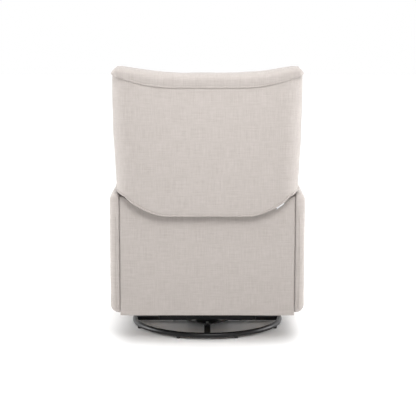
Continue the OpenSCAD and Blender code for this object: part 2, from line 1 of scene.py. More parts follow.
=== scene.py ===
"""Upholstery, finishes and studio for a swivel glider recliner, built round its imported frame."""

import json
import math

import bmesh
import bpy
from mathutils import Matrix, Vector, noise


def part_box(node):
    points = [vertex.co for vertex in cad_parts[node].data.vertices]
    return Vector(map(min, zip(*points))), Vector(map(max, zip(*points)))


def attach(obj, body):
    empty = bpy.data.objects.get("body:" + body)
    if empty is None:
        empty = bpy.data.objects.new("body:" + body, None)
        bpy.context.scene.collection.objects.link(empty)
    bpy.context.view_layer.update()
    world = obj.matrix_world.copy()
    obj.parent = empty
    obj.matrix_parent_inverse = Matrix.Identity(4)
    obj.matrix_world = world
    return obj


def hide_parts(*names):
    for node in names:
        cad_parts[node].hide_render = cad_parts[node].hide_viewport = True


bl_info = {
    "name": "Glider Recliner Upholstery",
    "version": (1, 0, 0),
    "blender": (4, 5, 0),
    "location": "View3D > Sidebar > Glider",
    "description": "Builds the padded covers, welts, stitching and finishes of a swivel glider recliner",
    "category": "Add Mesh",
}

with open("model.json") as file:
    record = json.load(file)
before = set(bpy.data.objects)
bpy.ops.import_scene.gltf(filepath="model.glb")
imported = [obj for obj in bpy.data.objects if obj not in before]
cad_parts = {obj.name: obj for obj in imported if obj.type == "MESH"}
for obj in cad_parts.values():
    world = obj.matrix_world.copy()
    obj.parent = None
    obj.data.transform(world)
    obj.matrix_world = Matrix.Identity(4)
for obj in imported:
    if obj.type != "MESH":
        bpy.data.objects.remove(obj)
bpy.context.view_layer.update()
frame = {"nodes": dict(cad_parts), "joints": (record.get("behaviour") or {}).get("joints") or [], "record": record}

# ---- Places taken from the frame ----

HINGE = next(j for j in frame["joints"] if j["name"] == "recline")["pos_m"]
LEAN = math.radians(5)
SIN, COS = math.sin(LEAN), math.cos(LEAN)
SEAM_PROUD = 0.0025
BACK_FOOT = (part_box("top_roll")[1].y - 0.5 * SIN - SEAM_PROUD, 0.470)
BACK_HEIGHT = 0.474
BACK_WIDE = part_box("outer_back")[1].x

# The shell: its wall, the radius of its rear corners and how far forward its sides reach.
SHELL_THICK, CORNER, SHELL_FRONT = 0.014, 0.065, 0.132

# Heights above the middle, by distance from the middle, of the top seam and of the rolled top.
SEAM_RISE = (
    (0.0, 0.0), (0.120, 0.0), (0.150, 0.001), (0.175, 0.003), (0.205, 0.007), (0.235, 0.0135),
    (0.259, 0.0195), (0.280, 0.026), (0.295, 0.031), (0.310, 0.0355), (0.322, 0.0385), (0.345, 0.0425),
)
TOP_MIDDLE = 0.987
TOP_RISE = (
    (0.0, 0.0), (0.100, 0.0005), (0.150, 0.003), (0.200, 0.008), (0.236, 0.0135), (0.265, 0.018),
    (0.294, 0.022), (0.312, 0.0235), (0.322, 0.0231), (0.333, 0.018), (0.340, 0.010), (0.350, 0.004),
)

# The split between back and seat: a drum about the hinge, which widens towards both sides.
SPLIT_HEIGHT = 0.477 - HINGE[2]
SPLIT_RISE, SPLIT_MIDDLE, SPLIT_POWER = 0.070, 0.150, 1.75
SHELL_REACH, COVER_REACH = 0.1235, 0.095
SHELL_GAP, COVER_GAP = 0.001, 0.0005

# The wings' lower end, and the arms' distance from the hinge that the wings sweep past.
WING_FOOT, WING_DEEP = 0.100, 0.1
ARM_CLEAR, SKIRT_TOP, ARM_GROOVE = 0.2015, 0.345, 0.3180

# Edge radii of the stuffed pieces.
ROUND = {"wing": 0.024, "back": 0.020, "seat": 0.020, "arm": 0.030, "footrest": 0.018}
CUSHION_TALL, CUSHION_DEEP = 0.466, 0.1
SEAT_INSET = Vector((0.002, 0.010, 0.006))


def mix(a, b, t):
    """The value a fraction t of the way from a to b."""
    return a + (b - a) * t


def unit(t):
    """A number held between 0 and 1."""
    return min(1.0, max(0.0, t))


def smooth(a, b, x):
    """0 below a, 1 above b, and a smooth step between."""
    t = unit((x - a) / (b - a))
    return t * t * (3 - 2 * t)


def arch(t):
    """0 at both ends and 1 in the middle."""
    return math.sin(math.pi * unit(t))


def leaning(x, y, z):
    """A point of the leaning back, in the row frame."""
    return Vector((x, BACK_FOOT[0] + y * COS + z * SIN, BACK_FOOT[1] - y * SIN + z * COS))


def along_table(table, x):
    """Reading of a table of (place, value) pairs."""
    x = abs(x)
    for (a, low), (b, high) in zip(table, table[1:]):
        if x <= b:
            return mix(low, high, (x - a) / (b - a))
    return table[-1][1]


def table_mean(table, x, spread):
    """A table read at four places round x, for a smooth curve."""
    return sum(along_table(table, abs(x) + spread * k) for k in (-1, -0.33, 0.33, 1)) / 4


def drum_radius(x, reach):
    """Radius of the split line about the back's hinge, at a distance from the middle."""
    rise = SPLIT_RISE * unit((abs(x) - SPLIT_MIDDLE) / 0.150) ** SPLIT_POWER
    return math.hypot(reach, SPLIT_HEIGHT + rise)


def seam_height(x):
    """Height of the top seam along the leaning back."""
    return BACK_HEIGHT + table_mean(SEAM_RISE, x, 0.010)


def shell_foot(x, y):
    """Height along the leaning back where the shell meets the clearance drum."""
    a = BACK_FOOT[0] + y * COS - HINGE[1]
    b = BACK_FOOT[1] - y * SIN - HINGE[2]
    q = a * SIN + b * COS
    radius = drum_radius(x, SHELL_REACH) + SHELL_GAP
    return -q + math.sqrt(max(0.0, q * q - a * a - b * b + radius * radius))


def shell_plan(s, inward):
    """Plan point of the shell at a distance s round it from the middle, set inward."""
    side = 1 if s >= 0 else -1
    s = abs(s)
    flat = BACK_WIDE - CORNER
    arc = CORNER * math.pi / 2
    if s < flat:
        return side * s, -inward
    if s < flat + arc:
        turn = (s - flat) / CORNER
        reach = CORNER - inward
        return side * (flat + reach * math.sin(turn)), -CORNER + reach * math.cos(turn)
    return side * (flat + CORNER - inward), -CORNER - (s - flat - arc)


def shell_taper(z):
    """Width factor of the back: a little narrower at the arms than at the top."""
    return mix(0.976, 1.004, smooth(0.55, 0.97, z))


# ---- Properties ----


class GliderCloth(bpy.types.PropertyGroup):
    """Colours and sizes of the upholstery."""

    colour: bpy.props.FloatVectorProperty(
        name="Cloth", description="Main colour of the woven cloth", subtype="COLOR",
        size=3, default=(0.473, 0.434, 0.41), min=0, max=1,
    )
    shade: bpy.props.FloatVectorProperty(
        name="Slub", description="Colour of the darker threads", subtype="COLOR",
        size=3, default=(0.365, 0.326, 0.301), min=0, max=1,
    )
    pitch: bpy.props.FloatProperty(
        name="Thread pitch", description="Distance between threads",
        default=0.0016, min=0.0005, max=0.005, unit="LENGTH",
    )
    welt: bpy.props.FloatProperty(
        name="Welt radius", description="Radius of the corded seams",
        default=0.0032, min=0.001, max=0.008, unit="LENGTH",
    )
    crown: bpy.props.FloatProperty(
        name="Crown", description="How far a stuffed face may swell",
        default=0.024, min=0.0, max=0.04, unit="LENGTH",
    )


class GliderStage(bpy.types.PropertyGroup):
    """Camera and light."""

    distance: bpy.props.FloatProperty(
        name="Distance", description="From the chair's axis to the camera",
        default=4.725, min=2, max=10, unit="LENGTH",
    )
    height: bpy.props.FloatProperty(
        name="Height", description="Height of the camera", default=1.155, min=0, max=3, unit="LENGTH",
    )
    aim: bpy.props.FloatProperty(
        name="Aim", description="Height the camera looks at", default=0.463, min=0, max=1, unit="LENGTH",
    )
    lens: bpy.props.FloatProperty(
        name="Lens", description="Focal length in millimetres", default=106.2, min=30, max=200,
    )
    key: bpy.props.FloatProperty(
        name="Overhead light", description="Power of the soft box above and behind the chair",
        default=10, min=0, max=500, unit="POWER",
    )
    side: bpy.props.FloatProperty(
        name="Side lights", description="Power of the soft box at each side",
        default=60, min=0, max=500, unit="POWER",
    )
    daylight: bpy.props.FloatProperty(
        name="Top light", description="Strength of the even light from straight above",
        default=1.7, min=0, max=5,
    )
    sky: bpy.props.FloatProperty(
        name="Surround", description="Strength of the white surround", default=1.0, min=0, max=3,
    )
    dim: bpy.props.FloatProperty(
        name="Surround behind", description="Share of the surround's strength behind the chair",
        default=0.25, min=0, max=1, subtype="FACTOR",
    )


# ---- Shader maths ----


class Socket:
    """An output socket that takes part in Python arithmetic."""

    def __init__(self, tree, out):
        self.tree, self.out = tree, out

    def _math(self, operation, a, b=None):
        return self.tree.add("ShaderNodeMath", {"operation": operation}, [a] if b is None else [a, b])

    def __add__(self, other):
        return self._math("ADD", self, other)

    __radd__ = __add__

    def __sub__(self, other):
        return self._math("SUBTRACT", self, other)

    def __rsub__(self, other):
        return self._math("SUBTRACT", other, self)

    def __mul__(self, other):
        return self._math("MULTIPLY", self, other)

    __rmul__ = __mul__

    def __pow__(self, other):
        return self._math("POWER", self, other)

    def sin(self):
        return self._math("SINE", self)

    def clamp(self):
        return self.tree.add("ShaderNodeClamp", {}, [self])


class Tree:
    """A material's node tree, built by expressions."""

    def __init__(self, name):
        self.material = bpy.data.materials.new(name)
        self.material.use_nodes = True
        self.tree = self.material.node_tree
        self.tree.nodes.clear()
        self.shader = self.tree.nodes.new("ShaderNodeBsdfPrincipled")
        output = self.tree.nodes.new("ShaderNodeOutputMaterial")
        self.tree.links.new(self.shader.outputs[0], output.inputs["Surface"])

    def feed(self, socket, value):
        """Links or sets one input."""
        if isinstance(value, Socket):
            self.tree.links.new(value.out, socket)
        else:
            socket.default_value = value

    def add(self, kind, settings, inputs=(), output=0):
        """A node with its settings set first, then its inputs by order or by name."""
        node = self.tree.nodes.new(kind)
        for name, value in settings.items():
            setattr(node, name, value)
        pairs = inputs.items() if isinstance(inputs, dict) else enumerate(inputs)
        for key, value in pairs:
            self.feed(node.inputs[key], value)
        return Socket(self, node.outputs[output])

    def place(self, stretch=(1, 1, 1), uv=False):
        """Object or cloth coordinates in metres, stretched per axis."""
        if uv:
            source = self.add("ShaderNodeUVMap", {"uv_map": "cloth"})
        else:
            source = self.add("ShaderNodeTexCoord", {}, output=3)
        return self.add("ShaderNodeMapping", {}, {"Vector": source, "Scale": stretch})

    def noise(self, at, scale, detail=2.0, rough=0.5):
        """Noise from 0 to 1."""
        return self.add(
            "ShaderNodeTexNoise", {}, {"Vector": at, "Scale": scale, "Detail": detail, "Roughness": rough}
        )

    def axes(self, at):
        """The three parts of a vector."""
        first = self.add("ShaderNodeSeparateXYZ", {}, [at])
        return [Socket(self, part) for part in first.out.node.outputs]

    def blend(self, factor, a, b):
        """A colour between a and b."""
        a, b = (c if isinstance(c, Socket) else (*c, 1) for c in (a, b))
        return self.add(
            "ShaderNodeMix", {"data_type": "RGBA"}, {"Factor": factor, "A": a, "B": b}, output="Result"
        )

    def bump(self, height, strength, distance):
        """A normal bumped by a height."""
        return self.add(
            "ShaderNodeBump", {}, {"Height": height, "Strength": strength, "Distance": distance}
        )

    def surface(self, **sockets):
        """Feeds the shader by socket name, underscores for spaces."""
        for name, value in sockets.items():
            self.feed(self.shader.inputs[name.replace("_", " ")], value)
        return self.material


def woven_cloth(name, colour, shade, pitch, fuzz=0.25):
    """Fine plain-weave cloth with slubs, a soft mottle and rubbed high spots."""
    tree = Tree(name)
    u, v, _ = tree.axes(tree.place(uv=True))
    turns = 2 * math.pi / pitch
    warp = (u * turns).sin()
    weft = (v * turns).sin()
    weave = warp * weft
    slub_up = tree.noise(tree.place((420, 16, 1), uv=True), 1.0, 3.0, 0.6)
    slub_across = tree.noise(tree.place((16, 420, 1), uv=True), 1.0, 3.0, 0.6)
    mottle = tree.noise(tree.place(), 70.0, 4.0, 0.6)
    thread = (slub_up + slub_across) * 0.5
    depth = ((thread - 0.5) * 2.8 + (mottle - 0.5) * 0.5 + weave * 0.10 + 0.34).clamp()
    base = tree.blend(depth, colour, shade)
    height = weave * 0.5 + thread * 1.4 + mottle * 0.5
    return tree.surface(
        Base_Color=base,
        Roughness=(0.86 + (mottle - 0.5) * 0.16).clamp(),
        Sheen_Weight=fuzz,
        Sheen_Roughness=0.45,
        Specular_IOR_Level=0.25,
        Normal=tree.bump(height, 0.55, pitch * 0.35),
    )


def coated_metal(name, colour, roughness, grain):
    """Powder-coated or painted steel, with orange peel and rubbed edges."""
    tree = Tree(name)
    peel = tree.noise(tree.place(), grain, 2.0, 0.5)
    wear = tree.noise(tree.place(), 38.0, 5.0, 0.65)
    dust = tree.noise(tree.place((1, 1, 3)), 9.0, 3.0, 0.5)
    scuffed = tree.blend(((wear - 0.62) * 4.0).clamp() * 0.5, colour, [c * 1.9 + 0.01 for c in colour])
    return tree.surface(
        Base_Color=tree.blend(((dust - 0.5) * 1.2).clamp() * 0.35, scuffed, (0.10, 0.098, 0.095)),
        Roughness=(roughness + (wear - 0.5) * 0.22 + (dust - 0.5) * 0.12).clamp(),
        Metallic=0.0,
        Specular_IOR_Level=0.35,
        Normal=tree.bump(peel, 0.25, 0.0004),
    )


def plated_steel(name, colour, roughness, streak):
    """Zinc-plated or oiled steel with fine rolling marks and a clouded plating."""
    tree = Tree(name)
    marks = tree.noise(tree.place(streak), 1.0, 3.0, 0.6)
    cloud = tree.noise(tree.place(), 55.0, 3.0, 0.55)
    spangle = tree.add(
        "ShaderNodeTexVoronoi", {"feature": "F1"}, {"Vector": tree.place(), "Scale": 260.0}
    )
    tone = ((cloud - 0.4) * 1.6).clamp()
    return tree.surface(
        Base_Color=tree.blend(tone, colour, [c * 0.72 for c in colour]),
        Metallic=1.0,
        Roughness=(roughness + (marks - 0.5) * 0.25 + (spangle - 0.4) * 0.10).clamp(),
        Normal=tree.bump(marks, 0.18, 0.0002),
    )


def sawn_wood(name, light, dark, along, plies=0.0):
    """Planed softwood or plywood, with grain along one axis and optional plies."""
    tree = Tree(name)
    stretch = [14.0, 14.0, 14.0]
    stretch["XYZ".index(along)] = 1.4
    grain = tree.noise(tree.place(stretch), 3.2, 5.0, 0.62)
    fibre = tree.noise(tree.place([s * 9 for s in stretch]), 2.0, 2.0, 0.5)
    rings = ((grain * 34.0).sin() * 0.5 + 0.5) ** 1.6
    tone = (rings * 0.55 + (fibre - 0.5) * 0.5 + 0.1).clamp()
    colour = tree.blend(tone, light, dark)
    if plies:
        across = tree.axes(tree.place())[0 if along != "X" else 1]
        band = ((across * (math.pi / plies)).sin() * 2.0).clamp()
        colour = tree.blend(band * 0.25, colour, dark)
    return tree.surface(
        Base_Color=colour,
        Roughness=(0.62 + (fibre - 0.5) * 0.2).clamp(),
        Normal=tree.bump(fibre + rings * 0.4, 0.3, 0.0006),
    )


def moulded_nylon(name, colour):
    """Black moulded nylon with a fine spark-eroded texture."""
    tree = Tree(name)
    spark = tree.noise(tree.place(), 1400.0, 2.0, 0.6)
    scuff = tree.noise(tree.place(), 90.0, 4.0, 0.6)
    return tree.surface(
        Base_Color=tree.blend(((scuff - 0.55) * 3).clamp() * 0.4, colour, [c * 2 + 0.02 for c in colour]),
        Roughness=(0.5 + (scuff - 0.5) * 0.3).clamp(),
        Normal=tree.bump(spark, 0.3, 0.0002),
    )


def webbing(name, colour, stripe):
    """Elastic webbing: ribs across it and a lighter stripe."""
    tree = Tree(name)
    x, y, z = tree.axes(tree.place())
    rib = ((x + y + z) * (2 * math.pi / 0.0022)).sin()
    fleck = tree.noise(tree.place(), 320.0, 2.0, 0.6)
    return tree.surface(
        Base_Color=tree.blend((rib * 0.3 + fleck * 0.6).clamp(), colour, stripe),
        Roughness=(0.8 + (fleck - 0.5) * 0.2).clamp(),
        Normal=tree.bump(rib + fleck, 0.5, 0.0004),
    )


def pressed_felt(name, colour, fleck_colour):
    """Recycled felt with short mixed fibres."""
    tree = Tree(name)
    fibre = tree.noise(tree.place((1, 3, 1)), 240.0, 5.0, 0.7)
    clump = tree.noise(tree.place(), 60.0, 3.0, 0.6)
    return tree.surface(
        Base_Color=tree.blend(((fibre - 0.5) * 3 + (clump - 0.4)).clamp(), colour, fleck_colour),
        Roughness=(0.9 + (clump - 0.5) * 0.1).clamp(),
        Normal=tree.bump(fibre, 0.7, 0.0008),
    )


def studio_floor(name):
    """A plain pale floor with the faintest unevenness."""
    tree = Tree(name)
    soft = tree.noise(tree.place(), 2.0, 2.0, 0.5)
    return tree.surface(
        Base_Color=tree.blend(soft * 0.2, (0.97, 0.97, 0.97), (0.95, 0.95, 0.955)),
        Roughness=(0.75 + (soft - 0.5) * 0.05).clamp(),
        Specular_IOR_Level=0.2,
    )


def finish(name):
    """The material of a slot, made once."""
    found = bpy.data.materials.get("glider_" + name)
    if found:
        return found
    cloth = bpy.context.scene.glider_cloth
    makers = {
        "base_paint": lambda n: coated_metal(n, (0.006, 0.006, 0.007), 0.36, 900.0),
        "frame_paint": lambda n: coated_metal(n, (0.016, 0.016, 0.017), 0.5, 700.0),
        "fasteners": lambda n: plated_steel(n, (0.62, 0.62, 0.60), 0.32, (120, 700, 700)),
        "bearing_steel": lambda n: plated_steel(n, (0.50, 0.50, 0.50), 0.22, (60, 60, 900)),
        "zinc": lambda n: plated_steel(n, (0.74, 0.75, 0.76), 0.26, (700, 40, 500)),
        "nylon": lambda n: moulded_nylon(n, (0.02, 0.02, 0.021)),
        "timber": lambda n: sawn_wood(n, (0.68, 0.50, 0.30), (0.50, 0.33, 0.17), "X"),
        "plywood": lambda n: sawn_wood(n, (0.70, 0.54, 0.34), (0.55, 0.38, 0.21), "Y", 0.0016),
        "strap": lambda n: webbing(n, (0.035, 0.032, 0.03), (0.12, 0.11, 0.10)),
        "felt": lambda n: pressed_felt(n, (0.36, 0.35, 0.33), (0.20, 0.21, 0.23)),
        "upholstery": lambda n: woven_cloth(n, cloth.colour, cloth.shade, cloth.pitch),
        "welt_cloth": lambda n: woven_cloth(
            n, [c * 0.97 for c in cloth.colour], cloth.shade, cloth.pitch * 0.8
        ),
        "thread": lambda n: pressed_felt(n, (0.58, 0.53, 0.49), (0.48, 0.43, 0.39)),
        "floor": studio_floor,
    }
    return makers[name]("glider_" + name)


# ---- Mesh helpers ----


def stations(low, high, radius, step, turns=4):
    """Grid positions across a block: close together in its rounded edges."""
    edge = [radius * math.tan(math.pi / 4 * i / turns) for i in range(turns, 0, -1)]
    inside = max(2, round((high - low - 2 * radius) / step))
    middle = [mix(low + radius, high - radius, i / inside) for i in range(inside + 1)]
    return [low + radius - e for e in edge] + middle + [high - radius + e for e in reversed(edge)]


def rounded_block(low, high, radius, step, warp=None, thin=None, sharp=(), extra=()):
    """A closed quad mesh of a rounded block, each point then moved by warp.

    A block thin along one axis keeps square corners in its outline. A side listed
    in sharp, as (axis, direction), keeps a square edge, and extra adds grid lines
    across X. Returns the mesh and, for each point, which ends of the grid it stands on.
    """
    axes = [stations(low[a], high[a], radius, step) for a in range(3)]
    axes[0] = sorted(axes[0] + list(extra))
    last = [len(a) - 1 for a in axes]
    mesh = bmesh.new()
    points = {}
    ends = []

    def point(key):
        if key not in points:
            p = Vector([axes[a][key[a]] for a in range(3)])
            core = Vector([min(high[a] - radius, max(low[a] + radius, p[a])) for a in range(3)])
            out = p - core
            if thin is not None:
                wide = max(abs(out[k]) for k in range(3) if k != thin)
                p = core + out * (radius / math.hypot(wide, out[thin]))
            else:
                kept = Vector((0, 0, 0))
                for k, way in sharp:
                    if out[k] * way > 0:
                        kept[k], out[k] = out[k], 0.0
                p = core + out.normalized() * radius + kept
            points[key] = mesh.verts.new(warp(p) if warp else p)
            ends.append(tuple(-1 if key[a] == 0 else (1 if key[a] == last[a] else 0) for a in range(3)))
        return points[key]

    for a in range(3):
        b, c = (a + 1) % 3, (a + 2) % 3
        for side in (0, last[a]):
            for i in range(last[b]):
                for j in range(last[c]):
                    ring = []
                    for di, dj in ((0, 0), (1, 0), (1, 1), (0, 1)):
                        key = [0, 0, 0]
                        key[a], key[b], key[c] = side, i + di, j + dj
                        ring.append(point(tuple(key)))
                    mesh.faces.new(ring if side else ring[::-1])
    return mesh, ends


def cloth_map(mesh):
    """Writes a UV layer in metres, laid on each face by the way it looks."""
    layer = mesh.uv_layers.get("cloth") or mesh.uv_layers.new(name="cloth")
    for face in mesh.polygons:
        n = [abs(c) for c in face.normal]
        a, b = ((1, 2), (0, 2), (0, 1))[n.index(max(n))]
        for loop in face.loop_indices:
            co = mesh.vertices[mesh.loops[loop].vertex_index].co
            layer.data[loop].uv = (co[a], co[b])


def put(name, mesh, material, body):
    """Makes a finished piece from a bmesh or mesh and rides it on a body."""
    if isinstance(mesh, bmesh.types.BMesh):
        bmesh.ops.recalc_face_normals(mesh, faces=mesh.faces)
        data = bpy.data.meshes.new(name)
        mesh.to_mesh(data)
        mesh.free()
    else:
        data = mesh
        data.name = name
    data.materials.clear()
    data.materials.append(finish(material))
    for face in data.polygons:
        face.use_smooth = True
    cloth_map(data)
    obj = bpy.data.objects.new(name, data)
    bpy.context.scene.collection.objects.link(obj)
    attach(obj, body)
    return obj


def subdivide(obj):
    """A live subdivision, the same in view and render."""
    mod = obj.modifiers.new("Smooth", "SUBSURF")
    mod.levels = mod.render_levels = 1


def ripple(p, size, amount):
    """A small fixed unevenness of stuffed cloth."""
    return amount * noise.noise(Vector(p) / size)


def puff(obj, held, cap, pressure):
    """Blows a cushion up as cloth held at its seams, and keeps the result up to a cap."""
    frames = 20
    rest = [v.co.copy() for v in obj.data.vertices]
    obj.vertex_groups.new(name="seams").add(held, 1.0, "REPLACE")
    mod = obj.modifiers.new("Cloth", "CLOTH")
    cloth = mod.settings
    cloth.quality = 6
    cloth.mass = 0.25
    cloth.tension_stiffness = cloth.compression_stiffness = 12
    cloth.shear_stiffness = 4
    cloth.bending_stiffness = 0.4
    cloth.use_pressure = True
    cloth.uniform_pressure_force = pressure
    cloth.shrink_min = -0.012
    cloth.vertex_group_mass = "seams"
    cloth.effector_weights.gravity = 0
    mod.collision_settings.use_collision = False
    mod.point_cache.frame_start, mod.point_cache.frame_end = 1, frames
    scene = bpy.context.scene
    for f in range(1, frames + 1):
        scene.frame_set(f)
    shaped = obj.evaluated_get(bpy.context.evaluated_depsgraph_get()).to_mesh()
    moved = [v.co.copy() for v in shaped.vertices]
    obj.modifiers.remove(mod)
    scene.frame_set(1)
    for v, start, end in zip(obj.data.vertices, rest, moved):
        step = end - start
        far = step.length
        if far > 1e-9:
            step *= cap * math.tanh(far / cap) / far
        v.co = start + step
    obj.vertex_groups.clear()
    cloth_map(obj.data)


def tube(name, points, radius, body, closed=False):
    """A round cord along a line of points."""
    curve = bpy.data.curves.new(name, "CURVE")
    curve.dimensions = "3D"
    spline = curve.splines.new("POLY")
    spline.points.add(len(points) - 1)
    for place, p in zip(spline.points, points):
        place.co = (*p, 1)
    spline.use_cyclic_u = closed
    curve.bevel_depth = radius
    curve.bevel_resolution = 3
    curve.use_fill_caps = not closed
    temporary = bpy.data.objects.new(name, curve)
    bpy.context.scene.collection.objects.link(temporary)
    graph = bpy.context.evaluated_depsgraph_get()
    mesh = bpy.data.meshes.new_from_object(temporary.evaluated_get(graph))
    bpy.data.objects.remove(temporary)
    work = bmesh.new()
    work.from_mesh(mesh)
    bmesh.ops.remove_doubles(work, verts=work.verts, dist=1e-6)
    bpy.data.meshes.remove(mesh)
    return put(name, work, "welt_cloth", body)


# ---- Stitches ----


def stitch_tree():
    """Geometry nodes that lay small stitches along the edges they are given."""
    tree = bpy.data.node_groups.new("Stitches", "GeometryNodeTree")
    tree.is_modifier = True
    face = tree.interface
    face.new_socket("Geometry", in_out="INPUT", socket_type="NodeSocketGeometry")
    face.new_socket("Geometry", in_out="OUTPUT", socket_type="NodeSocketGeometry")
    for name, value in (("Pitch", 0.006), ("Length", 0.004), ("Thickness", 0.0007)):
        face.new_socket(name, in_out="INPUT", socket_type="NodeSocketFloat").default_value = value
    face.new_socket("Seed", in_out="INPUT", socket_type="NodeSocketInt").default_value = 7
    add, link = tree.nodes.new, tree.links.new
    start, end = add("NodeGroupInput"), add("NodeGroupOutput")
    line = add("GeometryNodeMeshToCurve")
    spaced = add("GeometryNodeResampleCurve")
    spaced.mode = "LENGTH"
    cube = add("GeometryNodeMeshCube")
    for axis in "XYZ":
        cube.inputs["Vertices " + axis].default_value = 2
    size = add("ShaderNodeCombineXYZ")
    bulge = add("GeometryNodeSubdivisionSurface")
    bulge.inputs["Level"].default_value = 1
    tangent = add("GeometryNodeInputTangent")
    turn = add("FunctionNodeAlignEulerToVector")
    turn.axis = "X"
    spread = add("FunctionNodeRandomValue")
    spread.data_type = "FLOAT"
    spread.inputs[2].default_value = 0.88
    spread.inputs[3].default_value = 1.08
    place = add("GeometryNodeInstanceOnPoints")
    real = add("GeometryNodeRealizeInstances")
    paint = add("GeometryNodeSetMaterial")
    paint.inputs["Material"].default_value = finish("thread")
    link(start.outputs["Geometry"], line.inputs["Mesh"])
    link(line.outputs["Curve"], spaced.inputs["Curve"])
    link(start.outputs["Pitch"], spaced.inputs["Length"])
    link(start.outputs["Length"], size.inputs["X"])
    link(start.outputs["Thickness"], size.inputs["Y"])
    link(start.outputs["Thickness"], size.inputs["Z"])
    link(size.outputs["Vector"], cube.inputs["Size"])
    link(cube.outputs["Mesh"], bulge.inputs["Mesh"])
    link(tangent.outputs["Tangent"], turn.inputs["Vector"])
    link(start.outputs["Seed"], spread.inputs["Seed"])
    link(spaced.outputs["Curve"], place.inputs["Points"])
    link(bulge.outputs["Mesh"], place.inputs["Instance"])
    link(turn.outputs["Rotation"], place.inputs["Rotation"])
    link(spread.outputs[1], place.inputs["Scale"])
    link(place.outputs["Instances"], real.inputs["Geometry"])
    link(real.outputs["Geometry"], paint.inputs["Geometry"])
    link(paint.outputs["Geometry"], end.inputs["Geometry"])
    return tree


def stitches(name, lines, body, pitch=0.006, length=0.004):
    """Rows of stitches along several lines of points, as one plain mesh."""
    tree = bpy.data.node_groups.get("Stitches") or stitch_tree()
    work = bmesh.new()
    for line in lines:
        verts = [work.verts.new(p) for p in line]
        for a, b in zip(verts, verts[1:]):
            work.edges.new((a, b))
    data = bpy.data.meshes.new(name + "_rows")
    work.to_mesh(data)
    work.free()
    rows = bpy.data.objects.new(name + "_rows", data)
    bpy.context.scene.collection.objects.link(rows)
    mod = rows.modifiers.new("Stitches", "NODES")
    mod.node_group = tree
    sockets = {s.name: s.identifier for s in tree.interface.items_tree if s.in_out == "INPUT"}
    mod[sockets["Pitch"]] = pitch
    mod[sockets["Length"]] = length
    graph = bpy.context.evaluated_depsgraph_get()
    mesh = bpy.data.meshes.new_from_object(rows.evaluated_get(graph))
    bpy.data.objects.remove(rows)
    return put(name, mesh, "thread", body)


# ---- Pieces ----


class Piece:
    """What every operator of the chair shares."""

    bl_options = {"REGISTER", "UNDO"}


def shell_point(s, height, inward=0.0):
    """A row-frame point of the outer back at a distance round it and a height along its lean."""
    x, y = shell_plan(s, inward)
    p = leaning(x, y, height)
    return Vector((p.x * shell_taper(p.z), p.y, p.z))


def shell_half_length():
    """Half of the distance round the outer back."""
    flat = BACK_WIDE - CORNER
    return flat + CORNER * math.pi / 2 + (SHELL_FRONT - CORNER)


class GLIDER_OT_outer_back(Piece, bpy.types.Operator):
    """Tailored shell of the back, wrapped forward round both sides."""

    bl_idname = "glider.outer_back"
    bl_label = "Outer back"

    def execute(self, context):
        half = shell_half_length()

        def warp(p):
            inward = -p.y
            x, y = shell_plan(p.x, 0.0)
            low, high = shell_foot(x, y), seam_height(x)
            height = mix(low, high, p.z / BACK_HEIGHT)
            belly = 0.0035 * arch(p.z / BACK_HEIGHT)
            wave = ripple((p.x, 0.3, p.z), 0.11, 0.0012) + ripple((p.x, 4.0, p.z), 0.035, 0.00035)
            return shell_point(p.x, height, inward - belly - wave)

        mesh, _ = rounded_block(
            (-half, -SHELL_THICK, 0.0), (half, 0.0, BACK_HEIGHT), 0.0055, 0.011, warp, thin=1
        )
        shell = put("outer_back_cover", mesh, "upholstery", "back")
        subdivide(shell)
        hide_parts("outer_back")
        return {"FINISHED"}


def top_height(x):
    """Height of the top of the rolled edge."""
    return TOP_MIDDLE + table_mean(TOP_RISE, x, 0.008)


class GLIDER_OT_top_roll(Piece, bpy.types.Operator):
    """Soft rolled top edge of the front cover."""

    bl_idname = "glider.top_roll"
    bl_label = "Top roll"

    def execute(self, context):
        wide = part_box("top_roll")[1].x - 0.001
        deep, tall = 0.235, 0.05

        def warp(p):
            t = p.z / tall
            ahead = unit(-p.y / deep)
            y = -ahead * mix(0.212, 0.234, smooth(0.20, 0.27, abs(p.x))) + max(0.0, p.y)
            foot = leaning(p.x, y, seam_height(p.x) + 0.0005)
            crest = top_height(p.x) + 0.002 * math.sin(math.pi * ahead)
            crest -= 0.020 * smooth(0.5, 1.0, ahead) + 0.002 * (1 - smooth(0.0, 0.16, ahead))
            z = mix(foot.z, max(foot.z + 0.008, crest), t)
            edge = smooth(0.20, 0.31, abs(p.x))
            gather = edge * 0.0007 * math.sin(p.x * 260 + p.y * 60 + 2 * noise.noise(p * 30))
            swell = ripple((p.x, p.y, 2.0), 0.06, 0.0016) + gather
            back = 0.004 * math.sin(math.pi * t) * smooth(0.3, 0.0, ahead)
            front = 0.006 * math.sin(math.pi * t) * smooth(0.8, 1.0, ahead)
            return Vector((
                p.x, foot.y + (z - foot.z) * math.tan(LEAN) + back - front, z + swell * smooth(0.1, 0.7, t)
            ))

        mesh, _ = rounded_block(
            (-wide, -deep, 0.0), (wide, SEAM_PROUD, tall), 0.0215, 0.009, warp, sharp=((2, -1),)
        )
        roll = put("top_roll_cover", mesh, "upholstery", "back")
        subdivide(roll)
        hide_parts("top_roll")
        return {"FINISHED"}


